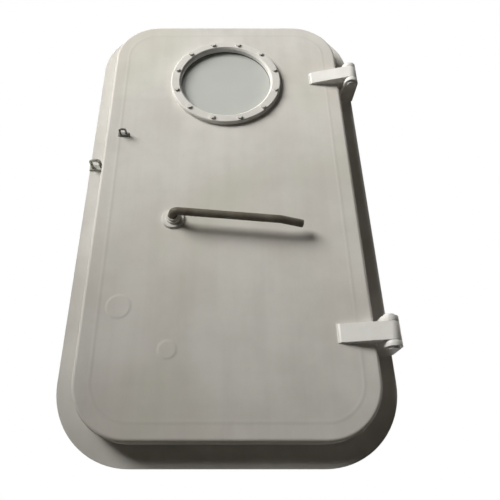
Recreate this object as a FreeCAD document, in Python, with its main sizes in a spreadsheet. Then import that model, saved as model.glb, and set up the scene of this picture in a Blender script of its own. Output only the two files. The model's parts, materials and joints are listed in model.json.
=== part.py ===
"""Single-lever marine watertight door, closed on its welded-in frame.

Row frame: +X towards the hinge side, +Y from the weather side into the ship, +Z up.
Origin: centre of the clear opening, on the back plane of the frame flange.
"""
import math
import os

import FreeCAD
import Part
import Sketcher

SIZES = [
    # name, millimetres or degrees, what it is
    ("clear_width", 600, "clear opening between the coaming sides"),
    ("clear_height", 1200, "clear opening between coaming sill and head"),
    ("clear_corner", 80, "corner radius of the clear opening"),
    ("coaming_thickness", 10, "coaming bar"),
    ("coaming_back", 60, "coaming depth behind the flange"),
    ("knife_width", 4, "narrow lip that bites the gasket"),
    ("knife_depth", 5, "depth of that lip"),
    ("flange_thickness", 8, "frame flange plate"),
    ("flange_margin", 50, "flange seen outside the leaf"),
    ("leaf_lap", 57, "leaf edge beyond the clear opening"),
    ("leaf_stand_off", 58, "leaf face in front of the flange"),
    ("leaf_thickness", 6, "leaf plate"),
    ("rim_depth", 46, "returned edge behind the plate"),
    ("rim_thickness", 6, "returned edge"),
    ("edge_round", 9, "rounded outer edge of the leaf"),
    ("gasket_width", 26, "door gasket"),
    ("gasket_depth", 21.7, "door gasket"),
    ("seal_gap", 0.3, "knife edge to gasket, not yet dogged down"),
    ("channel_thickness", 5, "flat bars that hold the gasket"),
    ("channel_depth", 28, "flat bars that hold the gasket"),
    ("stiffener_thickness", 8, "flat bar stiffener"),
    ("stiffener_depth", 34, "flat bar stiffener"),
    ("stiffener_upper", 185, "height of the upper stiffener"),
    ("stiffener_middle", -215, "height of the middle stiffener"),
    ("strap_backing", 15, "lower stiffener above the lower hinge centre"),
    ("hinge_height", 415, "hinge centres above and below the middle"),
    ("pin_reach", 32, "hinge pin beyond the leaf edge"),
    ("pin_rise", 14, "hinge pin in front of the leaf face"),
    ("pin_radius", 8, "hinge pin"),
    ("pin_head_radius", 13, "hinge pin head and end washer"),
    ("pin_head_height", 5, "hinge pin head and end washer"),
    ("pin_clearance", 0.05, "running fit of pins in their bushes"),
    ("bush_wall", 3, "hinge bush"),
    ("knuckle_radius", 21, "rounded end of strap and lugs"),
    ("strap_width", 45, "hinge strap along the pin"),
    ("strap_length", 123, "hinge pin to the free end of the strap"),
    ("strap_tip", 6, "strap thickness at its free end"),
    ("strap_bevel", 5, "bevel of the free end"),
    ("lug_thickness", 14, "hinge lug on the frame"),
    ("lug_gap", 0.5, "between lug and strap"),
    ("window_headroom", 20, "window frame to the gasket channel above it"),
    ("glass_radius", 148, "window glass"),
    ("glass_bite", 7.5, "edge of the glass held between the gaskets"),
    ("glass_thickness", 14, "window glass"),
    ("glass_clearance", 1, "glass to its seat"),
    ("glass_gasket", 3, "thickness of each window gasket"),
    ("seat_wall", 19, "wall of the window frame outside the glass"),
    ("ring_lap", 3.5, "clamp ring beyond the window frame"),
    ("ring_thickness", 14, "clamp ring in front of the leaf"),
    ("ring_bevel", 3, "outer edge of the clamp ring"),
    ("seat_lip", 6, "window frame lip behind the glass"),
    ("bolt_radius", 4, "window bolt"),
    ("bolt_clearance", 0.4, "window bolt in ring and plate"),
    ("bolt_head_flats", 13, "window bolt head across flats"),
    ("bolt_head_height", 5, "window bolt head"),
    ("bolt_grip", 10, "bolt thread in the window frame"),
    ("spindle_left", 143, "lever spindle left of the middle"),
    ("spindle_drop", 97, "lever spindle below the middle"),
    ("spindle_radius", 11, "lever spindle"),
    ("spindle_bush_wall", 4, "spindle bushes and packing"),
    ("spindle_bush_length", 16, "spindle bushes"),
    ("gland_flange_radius", 29, "round flange of the spindle gland"),
    ("gland_flange_height", 6, "round flange of the spindle gland"),
    ("gland_radius", 19, "gland body"),
    ("gland_height", 12, "gland body in front of the leaf"),
    ("gland_inside", 36, "gland body behind the leaf plate"),
    ("collar_radius", 15, "collar that joins spindle and lever"),
    ("collar_height", 7, "collar that joins spindle and lever"),
    ("collar_gap", 0.5, "collar to gland"),
    ("lever_radius", 10.5, "outer lever bar"),
    ("lever_reach", 343, "outer lever from the spindle"),
    ("lever_stand_off", 42, "outer lever bar in front of the leaf"),
    ("lever_elbow", 18, "bend radius of the outer lever"),
    ("lever_tail", 58, "length of the bent hand end"),
    ("lever_tail_drop", 14, "hand end back towards the leaf"),
    ("lever_droop_angle", 5.2, "outer lever below level, degrees"),
    ("inner_lever_radius", 7.5, "inner lever bar"),
    ("inner_lever_reach", 240, "inner lever from the spindle"),
    ("inner_lever_knee", 62, "where the inner lever turns inboard"),
    ("inner_lever_rise", 66, "inner lever grip behind its hub"),
    ("inner_hub_radius", 18, "inner lever hub"),
    ("inner_hub_height", 16, "inner lever hub"),
    ("crank_radius", 36, "throw of crank and dogs"),
    ("crank_thickness", 10, "drive crank plate"),
    ("crank_hub_radius", 20, "hubs of crank and dogs"),
    ("crank_lobe_radius", 12, "crank lobes round the link pins"),
    ("crank_web", 18, "width of the crank webs"),
    ("crank_angle", 45, "crank direction at rest, degrees"),
    ("dog_pivot", 232, "dog pivots left and right of the middle"),
    ("dog_upper", 400, "height of the upper dogs"),
    ("dog_lower", -480, "height of the lower dogs"),
    ("dog_thickness", 10, "dog plate"),
    ("dog_length", 58, "dog arm from its pivot"),
    ("dog_width", 26, "dog arm"),
    ("dog_gap", 0.5, "dog to its boss and washer"),
    ("dog_boss_radius", 17, "boss that carries a dog"),
    ("dog_pin_radius", 8, "dog pivot pin"),
    ("dog_washer_radius", 12, "head of the pivot pin"),
    ("dog_washer_height", 5, "head of the pivot pin"),
    ("pad_length", 18, "bronze wear pad along the arm"),
    ("pad_width", 22, "bronze wear pad across the arm"),
    ("pad_thickness", 6, "bronze wear pad"),
    ("pad_gap", 0.3, "pad to keeper"),
    ("keeper_front", 32, "keeper root in front of the flange back"),
    ("keeper_height", 22, "keeper crest in front of its root"),
    ("keeper_ramp", 11, "rise of the keeper's ramp"),
    ("keeper_reach", 30, "keeper into the clear opening"),
    ("keeper_lead", 28, "keeper before the dog"),
    ("keeper_tail", 16, "keeper past the dog"),
    ("bar_width", 18, "link bars"),
    ("bar_thickness", 6, "link bars"),
    ("bar_gap", 0.7, "link bars to dogs"),
    ("bar_end", 13, "link bar past its last pin"),
    ("link_pin_radius", 6, "link pins"),
    ("link_pin_clearance", 0.1, "link pins in dogs and crank"),
    ("link_head_radius", 9, "link pin heads"),
    ("link_head_height", 4, "link pin heads"),
    ("leaf_staple_x", -303, "padlock staple on the leaf"),
    ("leaf_staple_z", 191, "padlock staple on the leaf"),
    ("frame_staple_z", 112, "padlock staple on the frame"),
    ("frame_staple_inset", 22, "frame staple from the flange edge"),
    ("staple_plate", 4, "staple base plate thickness"),
    ("leaf_staple_bar", 3, "radius of the leaf staple's bar"),
    ("leaf_staple_half", 9, "half the span of the leaf staple"),
    ("leaf_staple_height", 20, "leaf staple in front of its plate"),
    ("frame_staple_bar", 4.5, "radius of the frame staple's bar"),
    ("frame_staple_half", 13, "half the span of the frame staple"),
    ("frame_staple_height", 34, "frame staple in front of its plate"),
]
WINDOW_BOLTS = 12
HALF_PITCH = 180 / WINDOW_BOLTS

doc = FreeCAD.newDocument("watertight_door")
sheet = doc.addObject("Spreadsheet::Sheet", "Sizes")
for row, (name, value, note) in enumerate(SIZES, 1):
    sheet.set(f"A{row}", note)
    sheet.set(f"B{row}", str(value))
    sheet.setAlias(f"B{row}", name)
doc.recompute()

# Places worked out from the sizes, as expressions on the sheet
OPEN_X = "Sizes.clear_width / 2"
OPEN_Z = "Sizes.clear_height / 2"
LEAF_X = f"({OPEN_X} + Sizes.leaf_lap)"
LEAF_Z = f"({OPEN_Z} + Sizes.leaf_lap)"
LEAF_CORNER = "(Sizes.clear_corner + Sizes.leaf_lap)"
FLANGE_X = f"({LEAF_X} + Sizes.flange_margin)"
FLANGE_FRONT = "(-Sizes.flange_thickness)"
LEAF_FRONT = f"({FLANGE_FRONT} - Sizes.leaf_stand_off)"
LEAF_BACK = f"({LEAF_FRONT} + Sizes.leaf_thickness)"
GASKET_BACK = f"({LEAF_BACK} + Sizes.gasket_depth)"
KNIFE_FRONT = f"({GASKET_BACK} + Sizes.seal_gap)"
PIN_X = f"({LEAF_X} + Sizes.pin_reach)"
PIN_Y = f"({LEAF_FRONT} - Sizes.pin_rise)"
RING_FRONT = f"({LEAF_FRONT} - Sizes.ring_thickness)"
GLASS_FRONT = LEAF_BACK
GLASS_BACK = f"({GLASS_FRONT} + Sizes.glass_thickness)"
SEAT_BACK = f"({GLASS_BACK} + Sizes.glass_gasket + Sizes.seat_lip)"
SIGHT = "(Sizes.glass_radius - Sizes.glass_bite)"
SEAT_BORE = "(Sizes.glass_radius + Sizes.glass_clearance)"
SEAT_RADIUS = f"({SEAT_BORE} + Sizes.seat_wall)"
BOLT_CIRCLE = f"({SEAT_BORE} + Sizes.seat_wall / 2)"
RING_RADIUS = f"({SEAT_RADIUS} + Sizes.ring_lap)"
CHANNEL_OUT = "(Sizes.coaming_thickness / 2 - Sizes.gasket_width / 2)"
WINDOW_Z = f"({OPEN_Z} + {CHANNEL_OUT} - Sizes.channel_thickness - Sizes.window_headroom - {SEAT_RADIUS})"
GLAND_FRONT = f"({LEAF_FRONT} - Sizes.gland_height)"
GLAND_BACK = f"({LEAF_BACK} + Sizes.gland_inside)"
GLAND_BORE = "(Sizes.spindle_radius + Sizes.pin_clearance + Sizes.spindle_bush_wall)"
COLLAR_BACK = f"({GLAND_FRONT} - Sizes.collar_gap)"
KEEPER_BACK = "(-Sizes.keeper_front + Sizes.keeper_height)"
PAD_FRONT = f"({KEEPER_BACK} + Sizes.pad_gap)"
DOG_FRONT = f"({PAD_FRONT} + Sizes.pad_thickness)"
DOG_BACK = f"({DOG_FRONT} + Sizes.dog_thickness)"
BOSS_BACK = f"({DOG_FRONT} - Sizes.dog_gap)"
WASHER_FRONT = f"({DOG_BACK} + Sizes.dog_gap)"
BAR_FRONT = f"({DOG_BACK} + Sizes.bar_gap)"
BAR_BACK = f"({BAR_FRONT} + Sizes.bar_thickness)"
CROSS_BACK = f"({BAR_BACK} + Sizes.bar_thickness)"
CRANK_BACK = f"({BAR_BACK} - Sizes.bar_gap)"
CRANK_FRONT = f"({CRANK_BACK} - Sizes.crank_thickness)"
THROW_X = "(Sizes.crank_radius * cos(Sizes.crank_angle * 1deg))"
THROW_Z = "(Sizes.crank_radius * sin(Sizes.crank_angle * 1deg))"
SPINDLE_X = "(-Sizes.spindle_left)"
SPINDLE_Z = "(-Sizes.spindle_drop)"
DOG_HEIGHTS = {
    "upper": "Sizes.dog_upper",
    "middle": SPINDLE_Z,
    "lower": "Sizes.dog_lower",
}
SIDES = {"left": -1, "right": 1}
sub_parts = []


def value(expression):
    """The number that an expression on the sheet stands for."""
    result = sheet.evalExpression(expression)
    return float(getattr(result, "Value", result))


def new_body(label, x=None, y=None, z=None):
    """A sub-part of its own, placed by expressions where they are given."""
    body = doc.addObject("PartDesign::Body", label)
    body.Label = label
    body.AllowCompound = True
    for axis, place in (("x", x), ("y", y), ("z", z)):
        if place is not None:
            body.setExpression(f"Placement.Base.{axis}", place)
    sub_parts.append(body)
    return body


def origin_feature(body, role):
    """An origin plane or axis of a body."""
    return next(item for item in body.Origin.OriginFeatures if item.Role == role)


def new_sketch(body, plane, offset="0"):
    """A sketch on one of the body's planes, moved along the plane's normal."""
    sketch = body.newObject("Sketcher::SketchObject", "sketch")
    sketch.AttachmentSupport = [(origin_feature(body, plane), "")]
    sketch.MapMode = "FlatFace"
    sketch.setExpression("AttachmentOffset.Base.z", offset)
    return sketch


def constrain(sketch, constraint, expression):
    """Add a dimension to a sketch and bind it to the sheet."""
    index = sketch.addConstraint(constraint)
    sketch.setExpression(f"Constraints[{index}]", expression)


def locate(sketch, geometry, point, across, up):
    """Hold one point of a sketch at two expressions from the sketch's origin."""
    for kind, place in (("DistanceX", across), ("DistanceY", up)):
        held = Sketcher.Constraint(kind, -1, 1, geometry, point, value(place))
        constrain(sketch, held, place)


def draw_polygon(sketch, corners):
    """Closed outline through corners given as pairs of expressions."""
    points = [FreeCAD.Vector(value(across), value(up), 0) for across, up in corners]
    first = sketch.GeometryCount
    count = len(points)
    for index in range(count):
        sketch.addGeometry(Part.LineSegment(points[index], points[(index + 1) % count]))
    for index in range(count):
        following = first + (index + 1) % count
        sketch.addConstraint(Sketcher.Constraint("Coincident", first + index, 2, following, 1))
    for index, (across, up) in enumerate(corners):
        locate(sketch, first + index, 1, across, up)


def draw_circle(sketch, radius, across="0", up="0"):
    """Circle with its radius and centre given as expressions."""
    centre = FreeCAD.Vector(value(across), value(up), 0)
    circle = sketch.addGeometry(Part.Circle(centre, FreeCAD.Vector(0, 0, 1), value(radius)))
    constrain(sketch, Sketcher.Constraint("Radius", circle, value(radius)), radius)
    locate(sketch, circle, 3, across, up)


def draw_rounded_rectangle(sketch, half_width, half_height, radius):
    """Rectangle about the origin, its corners rounded with one radius."""
    wide, high, corner = value(half_width), value(half_height), value(radius)
    first = sketch.GeometryCount
    up = FreeCAD.Vector(0, 0, 1)
    ends = [
        ((wide, corner - high), (wide, high - corner)),
        ((wide - corner, high), (corner - wide, high)),
        ((-wide, high - corner), (-wide, corner - high)),
        ((corner - wide, -high), (wide - corner, -high)),
    ]
    for start, end in ends:
        sketch.addGeometry(Part.LineSegment(FreeCAD.Vector(*start, 0), FreeCAD.Vector(*end, 0)))
    for index, (side, top) in enumerate(((1, 1), (-1, 1), (-1, -1), (1, -1))):
        centre = FreeCAD.Vector(side * (wide - corner), top * (high - corner), 0)
        quarter = index * math.pi / 2
        circle = Part.Circle(centre, up, corner)
        sketch.addGeometry(Part.ArcOfCircle(circle, quarter, quarter + math.pi / 2))
    for index in range(4):
        arc = first + 4 + index
        following = first + (index + 1) % 4
        sketch.addConstraint(Sketcher.Constraint("Tangent", first + index, 2, arc, 1))
        sketch.addConstraint(Sketcher.Constraint("Tangent", arc, 2, following, 1))
    sketch.addConstraint(Sketcher.Constraint("Vertical", first))
    sketch.addConstraint(Sketcher.Constraint("Horizontal", first + 1))
    sketch.addConstraint(Sketcher.Constraint("Vertical", first + 2))
    sketch.addConstraint(Sketcher.Constraint("Horizontal", first + 3))
    for index in range(1, 4):
        sketch.addConstraint(Sketcher.Constraint("Equal", first + 4, first + 4 + index))
    constrain(sketch, Sketcher.Constraint("Radius", first + 4, corner), radius)
    for index, kind, place, sign in (
        (0, "DistanceX", half_width, 1),
        (1, "DistanceY", half_height, 1),
        (2, "DistanceX", half_width, -1),
        (3, "DistanceY", half_height, -1),
    ):
        signed = place if sign > 0 else f"-({place})"
        held = Sketcher.Constraint(kind, -1, 1, first + index, 1, value(signed))
        constrain(sketch, held, signed)


def pad(body, sketch, length):
    """Solid raised from a sketch along the sketch's normal."""
    feature = body.newObject("PartDesign::Pad", "pad")
    feature.Profile = sketch
    feature.setExpression("Length", length)
    sketch.Visibility = False
    return feature


def cut_through(body, sketch):
    """Hole through the whole body, both ways from the sketch."""
    feature = body.newObject("PartDesign::Pocket", "pocket")
    feature.Profile = sketch
    feature.SideType = "Symmetric"
    feature.Type = "ThroughAll"
    return feature


def depth_sketch(body, back):
    """Sketch seen from the weather side, lying at a depth; its pads come forward."""
    return new_sketch(body, "XZ_Plane", f"-({back})")


def depth_pad(body, sketch, front, back):
    """Pad of such a sketch from its depth forward to another depth."""
    return pad(body, sketch, f"({back}) - ({front})")


def ring_body(label, half_width, half_height, corner, wall, front, back):
    """Rounded rectangular ring: inner half sizes and corner, wall outside them."""
    body = new_body(label)
    ring(body, half_width, half_height, corner, wall, front, back)
    return body


def ring(body, half_width, half_height, corner, wall, front, back):
    """Rounded rectangular ring added to a body."""
    sketch = depth_sketch(body, back)
    draw_rounded_rectangle(sketch, half_width, half_height, corner)
    outer = [f"({size} + {wall})" for size in (half_width, half_height, corner)]
    draw_rounded_rectangle(sketch, *outer)
    depth_pad(body, sketch, front, back)


def disc(body, radius, front, back, bore=None, across="0", up="0"):
    """Round disc about a line along Y, with a bore where one is given."""
    sketch = depth_sketch(body, back)
    draw_circle(sketch, radius, across, up)
    if bore is not None:
        draw_circle(sketch, bore, across, up)
    depth_pad(body, sketch, front, back)


def turned(body, corners):
    """Solid turned about the body's Y axis from a radius and depth outline."""
    sketch = new_sketch(body, "XY_Plane")
    draw_polygon(sketch, corners)
    feature = body.newObject("PartDesign::Revolution", "revolution")
    feature.Profile = sketch
    feature.ReferenceAxis = (sketch, ["V_Axis"])
    feature.Angle = 360
    sketch.Visibility = False


def bolt_place(index):
    """Place of one window bolt from the window's centre."""
    angle = HALF_PITCH + index * 360 / WINDOW_BOLTS
    across = f"{BOLT_CIRCLE} * cos({angle} * 1deg)"
    up = f"{BOLT_CIRCLE} * sin({angle} * 1deg)"
    return across, up


# Frame: flange, coaming, keepers, hinge lugs and pins ------------------------------------

def build_flange():
    """Flat flange that is welded round the cut-out in the bulkhead."""
    inner = [f"({size} + Sizes.coaming_thickness)" for size in (OPEN_X, OPEN_Z, "Sizes.clear_corner")]
    wall = "(Sizes.leaf_lap + Sizes.flange_margin - Sizes.coaming_thickness)"
    ring_body("frame_flange", *inner, wall, FLANGE_FRONT, "0")


def build_coaming():
    """Edge-on bar round the opening, with the narrow lip that meets the gasket."""
    body = ring_body(
        "frame_coaming", OPEN_X, OPEN_Z, "Sizes.clear_corner", "Sizes.coaming_thickness",
        f"({KNIFE_FRONT} + Sizes.knife_depth)", "Sizes.coaming_back",
    )
    inset = "(Sizes.coaming_thickness - Sizes.knife_width) / 2"
    inner = [f"({size} + {inset})" for size in (OPEN_X, OPEN_Z, "Sizes.clear_corner")]
    ring(body, *inner, "Sizes.knife_width", KNIFE_FRONT, f"({KNIFE_FRONT} + Sizes.knife_depth)")


def build_keepers(side, sign):
    """Three ramped keepers on one side of the coaming; a dog rides up each ramp."""
    body = new_body(f"{side}_keepers")
    for height in DOG_HEIGHTS.values():
        lead = f"({height} + {sign} * Sizes.keeper_lead)"
        crest = f"({height} + {sign} * Sizes.pad_width / 2)"
        tail = f"({height} - {sign} * Sizes.keeper_tail)"
        root = "(-Sizes.keeper_front)"
        inner = f"({OPEN_X} - Sizes.keeper_reach)"
        start = inner if sign > 0 else f"-({OPEN_X})"
        sketch = new_sketch(body, "YZ_Plane", start)
        draw_polygon(sketch, [
            (root, lead),
            (f"({KEEPER_BACK} - Sizes.keeper_ramp)", lead),
            (KEEPER_BACK, crest),
            (KEEPER_BACK, tail),
            (root, tail),
        ])
        pad(body, sketch, "Sizes.keeper_reach")


def build_lugs(level, height):
    """Pair of round-ended lugs on the flange, above and below one hinge strap."""
    body = new_body(f"{level}_hinge_lugs", PIN_X, PIN_Y, height)
    inner = "(Sizes.strap_width / 2 + Sizes.lug_gap)"
    for start in (inner, f"(-{inner} - Sizes.lug_thickness)"):
        sketch = new_sketch(body, "XY_Plane", start)
        draw_polygon(sketch, [
            ("-Sizes.knuckle_radius", "0"),
            ("Sizes.knuckle_radius", "0"),
            ("Sizes.knuckle_radius", f"{FLANGE_FRONT} - {PIN_Y}"),
            ("-Sizes.knuckle_radius", f"{FLANGE_FRONT} - {PIN_Y}"),
        ])
        pad(body, sketch, "Sizes.lug_thickness")
        nose = new_sketch(body, "XY_Plane", start)
        draw_circle(nose, "Sizes.knuckle_radius")
        pad(body, nose, "Sizes.lug_thickness")
    bore = new_sketch(body, "XY_Plane")
    draw_circle(bore, "Sizes.pin_radius")
    cut_through(body, bore)


def build_hinge_pin(level, height):
    """Headed hinge pin held in both lugs, with a washer closed over its lower end."""
    body = new_body(f"{level}_hinge_pin", PIN_X, PIN_Y, height)
    reach = "(Sizes.strap_width / 2 + Sizes.lug_gap + Sizes.lug_thickness)"
    shank = new_sketch(body, "XY_Plane", f"-{reach}")
    draw_circle(shank, "Sizes.pin_radius")
    pad(body, shank, f"2 * {reach}")
    for start in (reach, f"(-{reach} - Sizes.pin_head_height)"):
        head = new_sketch(body, "XY_Plane", start)
        draw_circle(head, "Sizes.pin_head_radius")
        pad(body, head, "Sizes.pin_head_height")


# Leaf: pan, gasket channel, stiffeners ---------------------------------------------------

def build_leaf_plate():
    """Pressed leaf: flat plate, returned rim and a rounded outer edge."""
    body = new_body("leaf_plate")
    rim_back = f"({LEAF_BACK} + Sizes.rim_depth)"
    outline = depth_sketch(body, rim_back)
    draw_rounded_rectangle(outline, LEAF_X, LEAF_Z, LEAF_CORNER)
    block = depth_pad(body, outline, LEAF_FRONT, rim_back)
    doc.recompute()
    edges = [
        f"Edge{number}"
        for number, edge in enumerate(block.Shape.Edges, 1)
        if edge.BoundBox.YMax < value(LEAF_BACK)
    ]
    round_over = body.newObject("PartDesign::Fillet", "round_over")
    round_over.Base = (block, edges)
    round_over.setExpression("Radius", "Sizes.edge_round")
    hollow = depth_sketch(body, rim_back)
    inner = [f"({size} - Sizes.rim_thickness)" for size in (LEAF_X, LEAF_Z, LEAF_CORNER)]
    draw_rounded_rectangle(hollow, *inner)
    pan = body.newObject("PartDesign::Pocket", "hollow_back")
    pan.Profile = hollow
    pan.Reversed = True
    pan.setExpression("Length", "Sizes.rim_depth")
    holes = depth_sketch(body, LEAF_BACK)
    draw_circle(holes, SEAT_BORE, "0", WINDOW_Z)
    draw_circle(holes, "Sizes.gland_radius", SPINDLE_X, SPINDLE_Z)
    for index in range(WINDOW_BOLTS):
        across, up = bolt_place(index)
        hole = "(Sizes.bolt_radius + Sizes.bolt_clearance)"
        draw_circle(holes, hole, across, f"{WINDOW_Z} + {up}")
    cut_through(body, holes)


def build_gasket_channel():
    """Two flat-bar rings on the back of the plate and the gasket between them."""
    inner = [f"({size} + {CHANNEL_OUT})" for size in (OPEN_X, OPEN_Z, "Sizes.clear_corner")]
    back = f"({LEAF_BACK} + Sizes.channel_depth)"
    bar = "Sizes.channel_thickness"
    inside = [f"({size} - {bar})" for size in inner]
    outside = [f"({size} + Sizes.gasket_width)" for size in inner]
    ring_body("gasket_channel_inner", *inside, bar, LEAF_BACK, back)
    ring_body("gasket_channel_outer", *outside, bar, LEAF_BACK, back)
    ring_body("door_gasket", *inner, "Sizes.gasket_width", LEAF_BACK, GASKET_BACK)


def build_stiffener(level, height):
    """Flat bar across the leaf between the sides of the gasket channel."""
    body = new_body(f"{level}_stiffener", z=height)
    half = f"({OPEN_X} + {CHANNEL_OUT} - Sizes.channel_thickness)"
    wide = "Sizes.stiffener_thickness / 2"
    sketch = depth_sketch(body, f"({LEAF_BACK} + Sizes.stiffener_depth)")
    draw_polygon(sketch, [
        (f"-{half}", f"-{wide}"),
        (half, f"-{wide}"),
        (half, wide),
        (f"-{half}", wide),
    ])
    pad(body, sketch, "Sizes.stiffener_depth")


# Window: frame, glass between two gaskets, clamp ring and its bolts --------------------------

def build_window():
    """Fixed round light: everything turned about the window's own centre line."""
    centre = ("0", "0", WINDOW_Z)
    seat = new_body("window_frame", *centre)
    turned(seat, [
        (SEAT_BORE, LEAF_BACK),
        (SEAT_RADIUS, LEAF_BACK),
        (SEAT_RADIUS, SEAT_BACK),
        (SIGHT, SEAT_BACK),
        (SIGHT, f"({SEAT_BACK} - Sizes.seat_lip)"),
        (SEAT_BORE, f"({SEAT_BACK} - Sizes.seat_lip)"),
    ])
    threads = depth_sketch(seat, f"({LEAF_BACK} + Sizes.bolt_grip)")
    for index in range(WINDOW_BOLTS):
        draw_circle(threads, "Sizes.bolt_radius", *bolt_place(index))
    tapped = seat.newObject("PartDesign::Pocket", "tapped_holes")
    tapped.Profile = threads
    tapped.Reversed = True
    tapped.setExpression("Length", "Sizes.bolt_grip")

    clamp = new_body("window_clamp_ring", *centre)
    turned(clamp, [
        (SIGHT, RING_FRONT),
        (f"{RING_RADIUS} - Sizes.ring_bevel", RING_FRONT),
        (RING_RADIUS, f"({RING_FRONT} + Sizes.ring_bevel)"),
        (RING_RADIUS, LEAF_FRONT),
        ("Sizes.glass_radius", LEAF_FRONT),
        ("Sizes.glass_radius", f"({GLASS_FRONT} - Sizes.glass_gasket)"),
        (SIGHT, f"({GLASS_FRONT} - Sizes.glass_gasket)"),
    ])
    holes = depth_sketch(clamp, LEAF_FRONT)
    for index in range(WINDOW_BOLTS):
        draw_circle(holes, "(Sizes.bolt_radius + Sizes.bolt_clearance)", *bolt_place(index))
    cut_through(clamp, holes)

    glass = new_body("window_glass", *centre)
    disc(glass, "Sizes.glass_radius", GLASS_FRONT, GLASS_BACK)
    outer = new_body("window_gasket_outer", *centre)
    disc(outer, "Sizes.glass_radius", f"({GLASS_FRONT} - Sizes.glass_gasket)", GLASS_FRONT, SIGHT)
    inner = new_body("window_gasket_inner", *centre)
    disc(inner, "Sizes.glass_radius", GLASS_BACK, f"({GLASS_BACK} + Sizes.glass_gasket)", SIGHT)


def build_window_bolts():
    """Hexagon bolts through the clamp ring and the plate into the window frame."""
    body = new_body("window_bolts", "0", "0", WINDOW_Z)
    for index in range(WINDOW_BOLTS):
        across, up = bolt_place(index)
        disc(body, "Sizes.bolt_radius", RING_FRONT, f"({LEAF_BACK} + Sizes.bolt_grip)", None, across, up)
    for index in range(WINDOW_BOLTS):
        across, up = bolt_place(index)
        head = depth_sketch(body, RING_FRONT)
        corner = "Sizes.bolt_head_flats / 2 / cos(30deg)"
        turns = [HALF_PITCH + 60 * side for side in range(6)]
        draw_polygon(head, [
            (f"{across} + {corner} * cos({turn} * 1deg)", f"{up} + {corner} * sin({turn} * 1deg)")
            for turn in turns
        ])
        pad(body, head, "Sizes.bolt_head_height")


# Hinge straps and their bushes -----------------------------------------------------------------

def build_strap(level, height):
    """Tapered solid strap on the leaf face, rounded about the hinge pin."""
    body = new_body(f"{level}_hinge_strap", PIN_X, PIN_Y, height)
    sketch = new_sketch(body, "XY_Plane", "-Sizes.strap_width / 2")
    radius = value("Sizes.knuckle_radius")
    corners = [
        ("-Sizes.pin_reach", "Sizes.pin_rise"),
        ("-Sizes.strap_length", "Sizes.pin_rise"),
        ("-Sizes.strap_length", "Sizes.pin_rise - Sizes.strap_tip + Sizes.strap_bevel"),
        ("-Sizes.strap_length + Sizes.strap_bevel", "Sizes.pin_rise - Sizes.strap_tip"),
    ]
    points = [FreeCAD.Vector(value(across), value(up), 0) for across, up in corners]
    for start, end in zip(points, points[1:]):
        sketch.addGeometry(Part.LineSegment(start, end))
    top = FreeCAD.Vector(0, -radius, 0)
    bottom = FreeCAD.Vector(0, radius, 0)
    sketch.addGeometry(Part.LineSegment(points[-1], top))
    nose = Part.Arc(top, FreeCAD.Vector(radius, 0, 0), bottom)
    sketch.addGeometry(nose)
    sketch.addGeometry(Part.LineSegment(bottom, points[0]))
    for line in range(3):
        sketch.addConstraint(Sketcher.Constraint("Coincident", line, 2, line + 1, 1))
    sketch.addConstraint(Sketcher.Constraint("Tangent", 3, 2, 4, 1))
    sketch.addConstraint(Sketcher.Constraint("Tangent", 4, 2, 5, 1))
    sketch.addConstraint(Sketcher.Constraint("Coincident", 5, 2, 0, 1))
    sketch.addConstraint(Sketcher.Constraint("Coincident", 4, 3, -1, 1))
    constrain(sketch, Sketcher.Constraint("Radius", 4, radius), "Sizes.knuckle_radius")
    for line, (across, up) in enumerate(corners):
        locate(sketch, line, 1, across, up)
    pad(body, sketch, "Sizes.strap_width")
    bore = new_sketch(body, "XY_Plane")
    draw_circle(bore, "(Sizes.pin_radius + Sizes.pin_clearance + Sizes.bush_wall)")
    cut_through(body, bore)


def build_hinge_bush(level, height):
    """Bronze bush pressed into the strap, running on the hinge pin."""
    body = new_body(f"{level}_hinge_bush", PIN_X, PIN_Y, height)
    sketch = new_sketch(body, "XY_Plane", "-Sizes.strap_width / 2")
    draw_circle(sketch, "(Sizes.pin_radius + Sizes.pin_clearance + Sizes.bush_wall)")
    draw_circle(sketch, "(Sizes.pin_radius + Sizes.pin_clearance)")
    pad(body, sketch, "Sizes.strap_width")


# Spindle gland and the dog bosses ------------------------------------------------------------

def build_gland():
    """Stepped gland through the plate, its two bushes and the packing between them."""
    place = (SPINDLE_X, "0", SPINDLE_Z)
    step = f"({LEAF_FRONT} - Sizes.gland_flange_height)"
    gland = new_body("spindle_gland", *place)
    turned(gland, [
        (GLAND_BORE, GLAND_FRONT),
        ("Sizes.gland_radius", GLAND_FRONT),
        ("Sizes.gland_radius", step),
        ("Sizes.gland_flange_radius", step),
        ("Sizes.gland_flange_radius", LEAF_FRONT),
        ("Sizes.gland_radius", LEAF_FRONT),
        ("Sizes.gland_radius", GLAND_BACK),
        (GLAND_BORE, GLAND_BACK),
    ])
    bore = "(Sizes.spindle_radius + Sizes.pin_clearance)"
    length = "Sizes.spindle_bush_length"
    bushes = new_body("spindle_bushes", *place)
    disc(bushes, GLAND_BORE, GLAND_FRONT, f"({GLAND_FRONT} + {length})", bore)
    disc(bushes, GLAND_BORE, f"({GLAND_BACK} - {length})", GLAND_BACK, bore)
    packing = new_body("spindle_packing", *place)
    disc(packing, GLAND_BORE, f"({GLAND_FRONT} + {length})", f"({GLAND_BACK} - {length})", bore)


def build_dog_carriers():
    """Six welded bosses and the headed pivot pins on them."""
    bosses = new_body("dog_bosses")
    pins = new_body("dog_pivot_pins")
    for sign in SIDES.values():
        for height in DOG_HEIGHTS.values():
            across = f"({sign} * Sizes.dog_pivot)"
            disc(bosses, "Sizes.dog_boss_radius", LEAF_BACK, BOSS_BACK, None, across, height)
            disc(pins, "Sizes.dog_pin_radius", BOSS_BACK, WASHER_FRONT, None, across, height)
            washer_back = f"({WASHER_FRONT} + Sizes.dog_washer_height)"
            disc(pins, "Sizes.dog_washer_radius", WASHER_FRONT, washer_back, None, across, height)


# Lever: spindle, outer lever, inner lever and drive crank --------------------------------------

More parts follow.
